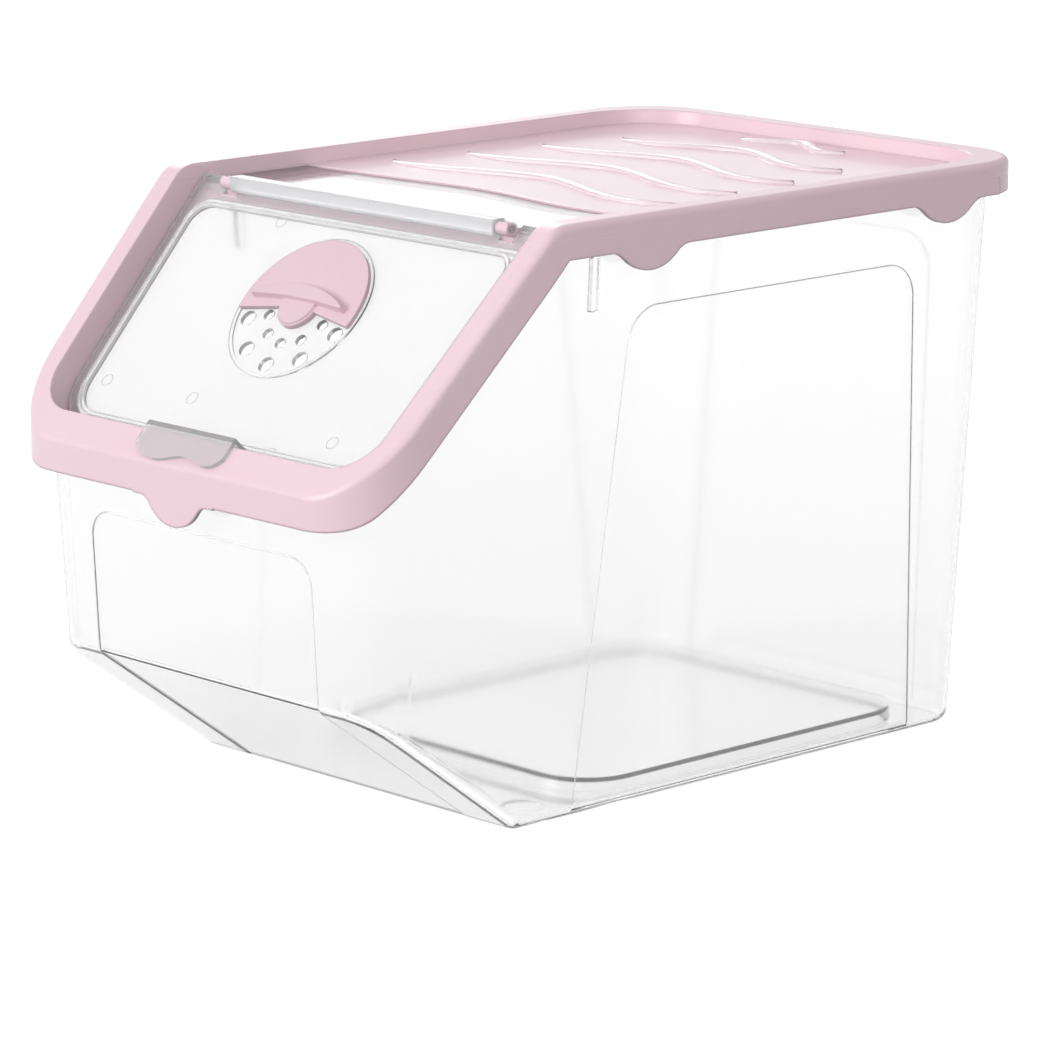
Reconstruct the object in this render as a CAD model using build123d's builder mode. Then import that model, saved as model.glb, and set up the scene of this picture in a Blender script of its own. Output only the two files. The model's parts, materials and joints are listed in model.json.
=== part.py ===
"""Vegetable storage bin: clear drafted tub, lid with a slanted flip door, and a turning vent.

Millimetres, +Z up. The bin stands on Z = 0, X = 0 is its plane of symmetry and the door faces -Y.
"""
import os
from math import atan2, cos, degrees, hypot, radians, sin, tan

from build123d import *

# Lid
lid_width = 225.0            # over the skirt, from the fold to the back
lid_front_width = 208.0      # over the skirt, at the front lip
lid_length = 358.0           # front lip to back
lid_top = 232.0              # height of the flat rim above the ground
fold_depth = 91.0            # from the front lip to the fold
front_lip_height = 139.0     # height of the slanted rim at the front lip
lid_corner_radius = 34.0     # in plan
fold_radius = 14.0           # rounding of the rim over the fold
waist_radius = 150.0         # in plan, where the sides turn in at the fold
crest_radius = 2.8           # outer edge of the rim
skirt_turn_radius = 26.0     # lower edge of the skirt, where it leaves the front
tray_corner_radius = 33.0    # inside of the rim, at the back
skirt_depth = 13.2           # square to the rim
skirt_wall = 1.8
rim_web = 1.8                # top wall of the rim
rim_band = 11.0              # width of the rim on top
front_band = 13.4            # width of the rim below the door, along the slant
inner_wall = 1.3             # wall between the rim and the tray or the door pocket
tray_depth = 5.8             # rim to tray
tray_wall = 2.0
tray_draft = 14.5            # degrees, inner wall round the tray
pocket_draft = 3.7           # degrees, inner wall round the door
seat_wall = 2.0              # ledge that the door shuts on

# Pull tabs below the skirt
side_tab_front_place = 138.5        # from the front lip
side_tab_back_place = 56.0          # from the back
side_tab_radius = 20.0
side_tab_drop = 8.2          # below the skirt
side_tab_flare = 10.0        # fillet into the skirt
front_tab_radius = 17.0
front_tab_drop = 10.0
front_tab_flare = 6.0

# Wavy ribs and wavy edge of the tray
rib_start = 183.0            # first rib, from the front lip
rib_back_margin = 27.0       # last rib, from the back
rib_half_lengths = (80.0, 76.0, 71.0, 62.0, 29.0)
rib_wave = 12.0              # height of the wave in plan
rib_width = 3.8
rib_height = 1.2
wave_edge_depth = 154.0      # mean line of the tray's front edge, from the front lip
wave_edge_rise = 5.5

# Window let into the lid
window_wall = 1.8
window_step = 0.6            # window below the tray
window_ledge = 4.0           # width of the ledge under its back edge
window_side_ledge = 18.0     # width of the ledges at its sides
window_front_ledge = 4.5
ledge_wall = 1.8

# Flip door
door_depth = 10.1            # door face below the rim, square to the slant
door_wall = 1.8
door_corner_radius = 20.0
door_bead_inset = 7.5        # raised bead, from the door's side edges
door_bead_top = 9.3          # from the fold down the slant
door_bead_low_inset = 3.2    # from the door's lower edge
door_bead_width = 1.6
door_bead_height = 1.8
opening_top = 6.0            # door opening, from the fold down the slant
opening_border = 3.2         # ledge width under the door's other edges
opening_top_radius = 10.0
plug_depth = 2.6             # flange inside the opening
plug_wall = 1.2
catch_width = 50.0           # finger tab at the door's lower edge
catch_wall = 1.6
catch_reach = 10.6           # tab over the rim, along the slant
catch_rise = 0.3             # tab above the rim

# Hinge, moulded on the door and the lid
hinge_bar_radius = 2.9
hinge_bar_half_length = 75.0
hinge_pin_radius = 1.5
hinge_lug_width = 6.4
hinge_lug_radius = 2.7
hinge_slot = 2.4             # mouth of the lug, narrower than the pin
hinge_sweep_radius = 5.2     # reach of the door's upper edge round the hinge
hinge_notch_depth = 4.0      # notch in the door beside the lug, down the slant
trough_wall = 1.9

# Vent in the door
vent_place = 48.2            # centre, down the slant from the fold
vent_ring_radius = 32.6
vent_ring_width = 1.4
vent_ring_height = 0.9
vent_hole_count = 5
vent_large_hole_radius = 3.4
vent_large_hole_circle = 26.2
vent_small_hole_radius = 2.4
vent_small_hole_circle = 16.1
vent_hole_edge_angle = 18.0  # first hole, below the level line
dial_radius = 31.2
dial_wall = 2.0
dial_overlap_angle = 9.5     # each side of the half circle
dial_hub_radius = 9.6
dial_hub_height = 1.0        # above the disc
dial_pin_radius = 4.0
dial_snap_radius = 4.8
dial_snap_height = 1.2
dial_split = 1.6
grip_length = 51.0
grip_crest = 8.0             # highest point of the bow, above the dial's centre
grip_end = 1.6               # width where it runs out
grip_height = 3.0            # above the disc
grip_draft = 4.0             # degrees

# Tub
tub_front_inset = 5.2        # from the front lip, at the height of the rim
tub_back_inset = 6.6
tub_corner_radius = 28.0     # at the height of the rim
tub_draft = 3.3              # degrees
tub_wall = 1.8
tub_floor_wall = 2.2
tub_edge_radius = 5.0
chamfer_height = 54.2        # lower front chamfer
chamfer_depth = 90.1         # where it meets the ground, from the front lip
rim_flange = 1.8             # thickness of the turned-out rim
rim_lip_depth = 8.0          # turned-down edge of the rim
panel_relief = 0.5           # depth of the inset panels
front_panel_half_width = 64.0
front_panel_top = 111.7
front_panel_radius = 11.0
side_panel_front = 138.0     # front edge of the side panel at its top, from the front lip
side_panel_front_foot = 117.0
side_panel_back = 293.0
side_panel_back_foot = 306.0
side_panel_top = 195.5
side_panel_radius = 15.0
back_panel_half_width = 60.0
back_panel_foot_half_width = 64.5
floor_panel_front = 137.0    # raised floor panel, from the front lip
floor_panel_back = 320.0
floor_panel_half_width = 78.0
floor_panel_radius = 22.0
floor_panel_rise = 5.5
pad_radius = 8.5             # round dimples in the base ring
pad_depth = 1.0
pad_half_spacing = 70.0
pad_place = 112.0            # from the front lip
stack_rib_place = 119.5      # small upright rib inside each side wall, from the front lip
stack_rib_low = 196.0
stack_rib_high = 217.0
stack_rib_width = 3.6
stack_rib_depth = 2.0

# Clearances
lid_clearance = 0.3          # rim of the tub below the lid
skirt_clearance = 0.6        # rim of the tub inside the skirt
pocket_clearance = 0.5       # tub and the lid's inner walls
door_clearance = 0.5         # door's edge in its pocket
seat_clearance = 0.2         # door above its ledge
plug_clearance = 0.6
window_clearance = 0.25
pin_clearance = 0.08         # running fit of the hinge pins and the dial's pin
lug_clearance = 0.6          # lug in its notch
sweep_clearance = 0.5        # door's upper edge in the lid's trough
dial_clearance = 0.3         # dial above the door, and its snap below it

# Places worked out from the sizes
reach = 600.0                # longer than anything here
front_y = -lid_length / 2
fold_y = front_y + fold_depth
back_y = front_y + lid_length
slant_drop = lid_top - front_lip_height
slant_length = hypot(fold_depth, slant_drop)
slant_angle = degrees(atan2(slant_drop, fold_depth))
tray_z = lid_top - tray_depth
window_z = tray_z - window_step
ledge_z = window_z - window_wall
seat_depth = door_depth + door_wall + seat_clearance
skirt_front_z = front_lip_height - skirt_depth
down_slope = Vector(0, -cos(radians(slant_angle)), -sin(radians(slant_angle)))
slope_normal = Vector(0, -sin(radians(slant_angle)), cos(radians(slant_angle)))
fold_point = Vector(0, fold_y, lid_top)
rib_pitch = (lid_length - rib_start - rib_back_margin) / (len(rib_half_lengths) - 1)
hinge_depth = door_depth - hinge_bar_radius
hinge_point = fold_point - slope_normal * hinge_depth
hinge_y = hinge_point.Y
hinge_z = hinge_point.Z
trough_radius = hinge_sweep_radius + sweep_clearance
tray_draft_run = tray_depth * tan(radians(tray_draft))
tray_half_width = lid_width / 2 - rim_band - tray_draft_run
window_front_y = hinge_y + trough_radius + window_clearance
wave_edge_y = front_y + wave_edge_depth
taper_per_mm = (lid_width - lid_front_width) / 2 / slant_length
pocket_end = slant_length - front_band
pocket_draft_run = seat_depth * tan(radians(pocket_draft))
door_border = rim_band + pocket_draft_run + door_clearance
door_end = pocket_end - pocket_draft_run - door_clearance
lug_x = hinge_bar_half_length + lug_clearance + hinge_lug_width / 2
notch_end = lug_x + hinge_lug_width / 2 + lug_clearance
rim_depth = rim_web + lid_clearance
rim_inset = skirt_wall + skirt_clearance
flange_z = front_lip_height - rim_depth - rim_flange
front_wall_y = front_y + tub_front_inset + (lid_top - flange_z) * tan(radians(tub_draft))
pocket_radius = door_corner_radius + door_clearance
tub_rim_half_width = (lid_width / 2 - rim_band + inner_wall + pocket_clearance + tub_wall
                      - rim_depth * (tan(radians(tray_draft)) - tan(radians(tub_draft))))


def slant_plane(depth):
    """Plane square to the slant, below the rim by depth: x is X, y runs up the slant."""
    return Plane(origin=fold_point - slope_normal * depth, x_dir=(1, 0, 0), z_dir=slope_normal)


def slant_half_width(place):
    """Half the lid's width at a place down the slant from the fold."""
    return lid_width / 2 - taper_per_mm * max(place, 0)


def lid_plan(inset):
    """Sketch of the lid's plan outline, moved in by inset."""
    half_front = lid_front_width / 2
    half_back = lid_width / 2
    with BuildSketch() as plan:
        with BuildLine():
            Polyline(
                (half_front, front_y), (half_back, fold_y), (half_back, back_y),
                (-half_back, back_y), (-half_back, fold_y), (-half_front, front_y), close=True,
            )
        make_face()
        fillet(plan.vertices().filter_by(lambda v: abs(v.Y - fold_y) > 1), lid_corner_radius)
        fillet(plan.vertices().filter_by(lambda v: abs(v.Y - fold_y) < 1), waist_radius)
        if inset > 0:
            offset(amount=-inset, mode=Mode.REPLACE)
    return plan.sketch


def below_rim(depth, radius):
    """Block under the rim's surface lowered by depth, with the fold rounded by radius."""
    high_z = lid_top - depth
    turn_y = fold_y + depth * tan(radians(slant_angle) / 2)
    low = Vector(0, turn_y, high_z) + down_slope * reach
    with BuildPart() as block:
        with BuildSketch(Plane.YZ):
            with BuildLine():
                FilletPolyline(
                    (low.Y, low.Z), (turn_y, high_z), (reach, high_z), radius=radius,
                )
                Polyline((reach, high_z), (reach, -reach), (low.Y, -reach), (low.Y, low.Z))
            make_face()
        extrude(amount=reach, both=True)
    return block.part


def lid_prism(inset, depth, radius):
    """Everything inside the lid's plan outline moved in by inset, up to depth below the rim."""
    with BuildPart() as prism:
        with BuildSketch(Plane.XY):
            add(lid_plan(inset))
        extrude(amount=lid_top)
        add(below_rim(depth, radius), mode=Mode.INTERSECT)
    return prism.part


def tray_slab(margin, thickness):
    """Drafted slab of the tray from the rim down, widened by margin and open at the fold."""
    inset = rim_band - margin
    low_y = fold_y - fold_radius
    high_y = back_y - inset
    with BuildPart() as slab:
        with BuildSketch(Plane.XY.offset(lid_top)) as outline:
            with Locations((0, (low_y + high_y) / 2)):
                Rectangle(lid_width - 2 * inset, high_y - low_y)
            fillet(outline.vertices().group_by(Axis.Y)[-1], tray_corner_radius + margin)
        extrude(amount=-thickness, taper=tray_draft)
    return slab.part


def slant_sketch(side_border, top_place, bottom_place, radius, top_radius=0.0):
    """Sketch square to the slant, a border inside the lid's sides, with rounded corners."""
    places = sorted({top_place, max(top_place, 0), bottom_place})
    right = [(slant_half_width(place) - side_border, -place) for place in places]
    left = [(-x, y) for x, y in reversed(right)]
    with BuildSketch() as outline:
        with BuildLine():
            Polyline(*right, *left, close=True)
        make_face()
        fillet(outline.vertices().group_by(Axis.Y)[0], radius)
        if top_radius > 0:
            fillet(outline.vertices().group_by(Axis.Y)[-1], top_radius)
    return outline.sketch


def pocket_block(margin, depth):
    """Drafted block of the door's pocket, widened by margin, from above the rim down to depth."""
    outline = slant_sketch(
        rim_band - margin, -12.0, pocket_end + margin, pocket_radius + margin)
    with BuildPart() as block:
        with BuildSketch(slant_plane(0)):
            add(outline)
        extrude(amount=-depth, taper=pocket_draft)
        with BuildSketch(slant_plane(0)):
            add(outline)
        extrude(amount=fold_radius)
    return block.part


def hinge_cylinder(radius, half_length):
    """Cylinder along the hinge line, centred on X = 0."""
    with BuildPart() as rod:
        with BuildSketch(Plane.YZ):
            with Locations((hinge_y, hinge_z)):
                Circle(radius)
        extrude(amount=half_length, both=True)
    return rod.part


def pull_tab(radius, drop, flare):
    """Sketch of a rounded tab hanging from the line y = 0, flared into it."""
    with BuildSketch() as tab:
        with Locations((0, radius - drop)):
            Circle(radius)
        with Locations((0, radius)):
            Rectangle(6 * radius, 2 * radius)
        joints = tab.vertices().filter_by(lambda v: abs(v.Y) < 0.01 and abs(v.X) < radius)
        fillet(joints, flare)
        with Locations((0, skirt_depth / 2 + reach / 2)):
            Rectangle(reach, reach, mode=Mode.SUBTRACT)
        half = radius + flare
        with Locations((half + reach / 2, 0), (-half - reach / 2, 0)):
            Rectangle(reach, reach, mode=Mode.SUBTRACT)
    return tab.sketch


def wave_line(half_length, start_y, rise):
    """Points of the wave used for the ribs and the tray's edge, from left to right."""
    return [
        (-half_length, start_y),
        (-0.5 * half_length, start_y + 0.36 * rise),
        (-0.02 * half_length, start_y + rise),
        (0.52 * half_length, start_y - 0.22 * rise),
        (half_length, start_y + 0.06 * rise),
    ]


def front_of_wave(half_width, start_y, margin):
    """Sketch from start_y back to the tray's wavy edge, the edge moved forward by margin."""
    line = wave_line(half_width, wave_edge_y - margin, wave_edge_rise)
    with BuildSketch() as area:
        with BuildLine():
            Spline(line, tangents=[(1, 0), (1, 0)])
            Polyline(line[-1], (half_width, start_y), (-half_width, start_y), line[0])
        make_face()
    return area.sketch


def wavy_rib(half_length, start_y, rise):
    """Sketch of one rib: the wave, thick in the middle and running out at both ends."""
    line = wave_line(half_length, start_y, rise)
    shares = (0.0, 0.7, 1.0, 1.0, 0.0)
    upper = [(x, y + rib_width * share / 2) for (x, y), share in zip(line, shares)]
    lower = [(x, y - rib_width * share / 2) for (x, y), share in zip(line, shares)]
    with BuildSketch() as rib:
        with BuildLine():
            Spline(upper)
            Spline(lower)
        make_face()
    return rib.sketch


# The tub: a drafted shell, one volume for the outside and one for the inside
tub_top_width = 2 * (tub_rim_half_width + rim_depth * tan(radians(tub_draft)))
tub_centre_y = front_y + (tub_front_inset + lid_length - tub_back_inset) / 2
tub_top_length = lid_length - tub_front_inset - tub_back_inset
chamfer_angle = atan2(chamfer_height, chamfer_depth - tub_front_inset
                      - (lid_top - chamfer_height) * tan(radians(tub_draft)))


def tub_volume(inset, floor_z, edge_radius):
    """Drafted tub volume moved in by inset, with its floor at floor_z."""
    lean = tan(radians(tub_draft))
    shift = inset / sin(chamfer_angle)
    ground_y = front_y + chamfer_depth + shift
    slope = tan(chamfer_angle)
    with BuildPart() as volume:
        with BuildSketch(Plane.XY.offset(lid_top)):
            with Locations((0, tub_centre_y)):
                RectangleRounded(
                    tub_top_width - 2 * inset, tub_top_length - 2 * inset,
                    tub_corner_radius - inset,
                )
        extrude(amount=floor_z - lid_top, taper=tub_draft)
        with BuildSketch(Plane.YZ):
            with BuildLine():
                Polyline(
                    (ground_y, 0), (ground_y - reach, reach * slope), (ground_y - reach, -reach),
                    (ground_y + reach, -reach * slope), close=True,
                )
            make_face()
        extrude(amount=reach, both=True, mode=Mode.SUBTRACT)
        low_edges = volume.faces().filter_by(
            lambda f: f.normal_at().Z < -0.3
        ).edges()
        fillet(low_edges, edge_radius)
    return volume.part


def floor_block(margin, height):
    """Block of the raised floor panel, widened by margin."""
    with BuildPart() as block:
        with BuildSketch(Plane.XY):
            with Locations((0, front_y + (floor_panel_front + floor_panel_back) / 2)):
                RectangleRounded(
                    2 * (floor_panel_half_width + margin),
                    floor_panel_back - floor_panel_front + 2 * margin,
                    floor_panel_radius + margin,
                )
        extrude(amount=height, taper=tub_draft)
    return block.part


tub_outside = tub_volume(0, 0, tub_edge_radius)
tub_inside = tub_volume(tub_wall, tub_floor_wall, tub_edge_radius - tub_wall)
floor_recess = floor_block(0, floor_panel_rise)
floor_plateau = floor_block(tub_wall, floor_panel_rise + tub_floor_wall)
below_lid = below_rim(rim_depth, fold_radius - rim_web)
rim_outside = lid_prism(rim_inset, rim_depth, fold_radius - rim_web)
rim_hollow = lid_prism(rim_inset + rim_flange, rim_depth + rim_flange, fold_radius - 2 * rim_web)
below_lip = below_rim(rim_depth + rim_lip_depth, 2.0)
pocket_space = pocket_block(
    inner_wall + pocket_clearance, seat_depth + seat_wall + pocket_clearance,
)
tray_space = tray_slab(inner_wall + pocket_clearance, tray_depth + tray_wall)


def wall_plane(normal_x, normal_y, distance):
    """Plane of a drafted wall's outer face, its origin on the ground and its y upwards."""
    lean = radians(tub_draft)
    normal = Vector(normal_x * cos(lean), normal_y * cos(lean), -sin(lean))
    foot = Vector(normal_x, normal_y, 0) * (distance - lid_top * tan(lean))
    if normal_x == 0:
        foot = foot + Vector(0, tub_centre_y, 0)
    return Plane(origin=foot, x_dir=(-normal_y, normal_x, 0), z_dir=normal)


def wall_panel(foot, top, height, radius):
    """Sketch of an inset panel from below the ground to height; foot and top are x pairs."""
    with BuildSketch() as panel:
        with BuildLine():
            Polyline(
                (foot[0], -tub_edge_radius), (top[0], height), (top[1], height),
                (foot[1], -tub_edge_radius), close=True,
            )
        make_face()
        fillet(panel.vertices().group_by(Axis.Y)[-1], radius)
    return panel.sketch


side_panel = wall_panel(
    (front_y + side_panel_front_foot, front_y + side_panel_back_foot),
    (front_y + side_panel_front, front_y + side_panel_back),
    side_panel_top, side_panel_radius,
)
front_panel = wall_panel(
    (-front_panel_half_width, front_panel_half_width),
    (-front_panel_half_width, front_panel_half_width),
    front_panel_top, front_panel_radius,
)
back_panel = wall_panel(
    (-back_panel_foot_half_width, back_panel_foot_half_width),
    (-back_panel_half_width, back_panel_half_width),
    side_panel_top, side_panel_radius,
)
chamfer_plane = Plane(
    origin=(0, front_y + chamfer_depth, 0), x_dir=(1, 0, 0),
    z_dir=(0, -sin(chamfer_angle), -cos(chamfer_angle)),
)


with BuildPart() as tub:
    add(tub_outside)
    add(below_lid, mode=Mode.INTERSECT)
    # Turned-out rim: a flange that follows the lid, with a turned-down edge, solid at the front
    add(rim_outside - rim_hollow - below_lip)
    with BuildSketch(Plane.XY.offset(flange_z)):
        add(lid_plan(rim_inset))
        with Locations((0, front_wall_y + tub_wall + reach / 2)):
            Rectangle(reach, reach, mode=Mode.SUBTRACT)
    front_rim = extrude(amount=lid_top - flange_z, mode=Mode.PRIVATE)
    add((front_rim & below_lid) - below_lip)
    add(tub_inside - floor_plateau, mode=Mode.SUBTRACT)
    add([floor_recess, pocket_space, tray_space], mode=Mode.SUBTRACT)
    # Round dimples in the ring that the bin stands on
    with BuildSketch(Plane.XY):
        with Locations((0, front_y + pad_place)):
            with GridLocations(2 * pad_half_spacing, reach, 2, 1):
                Circle(pad_radius)
    extrude(amount=pad_depth, mode=Mode.SUBTRACT)
    # Inset panels of the walls and the chamfer, open at the ground
    with BuildSketch(wall_plane(1, 0, tub_top_width / 2)):
        add(side_panel)
    with BuildSketch(wall_plane(-1, 0, tub_top_width / 2)):
        add(mirror(side_panel, about=Plane.YZ))
    with BuildSketch(wall_plane(0, -1, tub_top_length / 2)):
        add(front_panel)
    with BuildSketch(wall_plane(0, 1, tub_top_length / 2)):
        add(back_panel)
    with BuildSketch(chamfer_plane):
        Rectangle(2 * front_panel_half_width, reach)
    extrude(amount=-panel_relief, mode=Mode.SUBTRACT)
    # Small upright rib inside each side wall
    for side in (1, -1):
        with BuildSketch(wall_plane(side, 0, tub_top_width / 2)):
            with Locations((side * (front_y + stack_rib_place), stack_rib_low)):
                Rectangle(
                    stack_rib_width, stack_rib_high - stack_rib_low, align=(Align.CENTER, Align.MIN),
                )
        extrude(amount=-tub_wall - stack_rib_depth)
tub.part.label = "tub"

# The lid frame, cut from its crown: the full outside shape with the pocket and the tray
rim_surface = below_rim(0, fold_radius)
lid_hollow = lid_prism(skirt_wall, rim_web, fold_radius - rim_web)
pocket_shell = pocket_block(inner_wall, seat_depth + seat_wall)
pocket_hollow = pocket_block(0, seat_depth)
tray_shell = tray_slab(inner_wall, tray_depth + tray_wall)
tray_hollow = tray_slab(0, tray_depth)
trough_shell = hinge_cylinder(trough_radius + trough_wall, tray_half_width + inner_wall)
trough_hollow = hinge_cylinder(trough_radius, slant_half_width(0) - rim_band - pocket_draft_run)

with BuildPart() as crown:
    with BuildSketch(Plane.XY):
        add(lid_plan(0))
    extrude(amount=lid_top)
    add(rim_surface, mode=Mode.INTERSECT)
    upper_edges = crown.edges().filter_by(
        lambda e: min((e @ 0).Z, (e @ 1).Z) > front_lip_height - 1
    )
    crest = upper_edges.filter_by(
        lambda e: abs(e.center().X) > 1 or e.center().Y < front_y + 1 or e.center().Y > back_y - 1
    )
    fillet(crest, crest_radius)
    add([pocket_hollow, tray_hollow], mode=Mode.SUBTRACT)

door_opening = slant_sketch(
    rim_band + pocket_draft_run + opening_border, opening_top,
    pocket_end - pocket_draft_run - opening_border, door_corner_radius - opening_border,
    opening_top_radius,
)
front_tab = pull_tab(front_tab_radius, front_tab_drop, front_tab_flare)
side_tab = pull_tab(side_tab_radius, side_tab_drop, side_tab_flare)

with BuildPart() as skirt_room:
    # Space below the skirt: it follows the slant, and turns level at the front
    turn_y = fold_y + skirt_depth * tan(radians(slant_angle) / 2)
    level_y = turn_y - (lid_top - skirt_depth - skirt_front_z) / tan(radians(slant_angle))
    with BuildSketch(Plane.YZ):
        with BuildLine():
            FilletPolyline(
                (-reach, skirt_front_z), (level_y, skirt_front_z),
                (turn_y, lid_top - skirt_depth), radius=skirt_turn_radius,
            )
            Polyline(
                (turn_y, lid_top - skirt_depth), (reach, lid_top - skirt_depth),
                (reach, -reach), (-reach, -reach), (-reach, skirt_front_z),
            )
        make_face()
    extrude(amount=reach, both=True)

with BuildPart() as lid_frame:
    # Skirt and rim
    add(crown)
    add([lid_hollow, skirt_room.part], mode=Mode.SUBTRACT)
    # Inner walls, tray, window bay, hinge trough and door seat
    add(pocket_shell & crown.part)
    add(tray_shell & crown.part)
    with BuildSketch(Plane.XY.offset(ledge_z - ledge_wall)):
        add(front_of_wave(tray_half_width + inner_wall, hinge_y, -tray_wall))
    extrude(amount=tray_z - ledge_z)
    add(trough_shell & crown.part)
    add([pocket_hollow, trough_hollow], mode=Mode.SUBTRACT)
    with BuildSketch(Plane.XY.offset(ledge_z)):
        add(front_of_wave(tray_half_width, hinge_y, 0))
    extrude(amount=tray_depth, mode=Mode.SUBTRACT)
    with BuildSketch(Plane.XY.offset(ledge_z)):
        add(front_of_wave(
            tray_half_width - window_side_ledge, window_front_y + window_front_ledge, window_ledge,
        ))
    extrude(amount=-2 * ledge_wall, mode=Mode.SUBTRACT)
    with BuildSketch(slant_plane(seat_depth)):
        add(door_opening)
    extrude(amount=-2 * seat_wall, mode=Mode.SUBTRACT)
    # Hinge lugs: a snap ring open at the top on a foot behind the pin
    for side in (1, -1):
        with BuildSketch(Plane.YZ.offset(side * lug_x)):
            with Locations((hinge_y, hinge_z)):
                Circle(hinge_lug_radius)
            foot_width = trough_radius - 1
            with Locations((hinge_y + 1 + foot_width / 2, hinge_z - trough_radius / 2)):
                Rectangle(foot_width, trough_radius)
            with Locations((hinge_y, hinge_z)):
                Circle(hinge_pin_radius + pin_clearance, mode=Mode.SUBTRACT)
            with Locations((hinge_y, hinge_z + hinge_lug_radius)):
                Rectangle(hinge_slot, 2 * hinge_lug_radius, mode=Mode.SUBTRACT)
        extrude(amount=hinge_lug_width / 2, both=True)
    # Wavy ribs of the tray
    with BuildSketch(Plane.XY.offset(tray_z)):
        for row, half_length in enumerate(rib_half_lengths):
            rise = rib_wave * min(1, half_length / rib_half_lengths[0] + 0.3)
            add(wavy_rib(half_length, front_y + rib_start + row * rib_pitch, rise))
    extrude(amount=rib_height)
    # Pull tabs
    origin = (0, front_y + skirt_wall, skirt_front_z)
    with BuildSketch(Plane(origin=origin, x_dir=(1, 0, 0), z_dir=(0, -1, 0))):
        add(front_tab)
    extrude(amount=skirt_wall)
    for side in (1, -1):
        for place in (side_tab_front_place, lid_length - side_tab_back_place):
            origin = (side * (lid_width / 2 - skirt_wall), front_y + place, lid_top - skirt_depth)
            with BuildSketch(Plane(origin=origin, x_dir=(0, side, 0), z_dir=(side, 0, 0))):
                add(side_tab)
            extrude(amount=skirt_wall)
lid_frame.part.label = "lid_frame"

# The window, let into the lid between the hinge and the tray
with BuildPart() as lid_window:
    with BuildSketch(Plane.XY.offset(ledge_z)):
        add(front_of_wave(tray_half_width - window_clearance, window_front_y, window_clearance))
    extrude(amount=window_wall)
lid_window.part.label = "lid_window"

# The flip door: panel, bead, plug flange, hinge bar with its pins, finger tab and vent
door_outline = slant_sketch(door_border, -2 * hinge_sweep_radius, door_end, door_corner_radius)
bead_outside = slant_sketch(
    door_border + door_bead_inset, door_bead_top, door_end - door_bead_low_inset,
    door_corner_radius - door_bead_low_inset, opening_top_radius,
)
bead_inside = offset(bead_outside, amount=-door_bead_width)
plug_border = rim_band + pocket_draft_run + opening_border + plug_clearance
plug_outside = slant_sketch(
    plug_border, opening_top + plug_clearance,
    pocket_end - pocket_draft_run - opening_border - plug_clearance,
    door_corner_radius - opening_border - plug_clearance, opening_top_radius - plug_clearance,
)
plug_inside = offset(plug_outside, amount=-plug_wall)
hinge_reach = hinge_cylinder(hinge_sweep_radius, lid_width / 2)


def vent_holes(radius, circle):
    """Sketch of the row of vent holes on one circle, over the lower half of the vent."""
    step = (180 - 2 * vent_hole_edge_angle) / (vent_hole_count - 1)
    with BuildSketch() as holes:
        with Locations((0, -vent_place)):
            with PolarLocations(
                circle, vent_hole_count, start_angle=180 + vent_hole_edge_angle,
                angular_range=step * (vent_hole_count - 1), endpoint=True,
            ):
                Circle(radius)
    return holes.sketch


def catch_outline(start):
    """Sketch of the finger tab from start down the slant, with a wavy lower edge."""
    half = catch_width / 2
    end = pocket_end + catch_reach
    with BuildSketch() as tab:
        with BuildLine():
            Polyline((-half, -end + 4), (-half, -start), (half, -start), (half, -end + 4))
            Spline(
                (half, -end + 4), (half - 4, -end), (0.2 * half, -end + 1.4),
                (-0.3 * half, -end - 1.6), (-half + 4, -end + 0.4), (-half, -end + 4),
            )
        make_face()
    return tab.sketch


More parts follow.
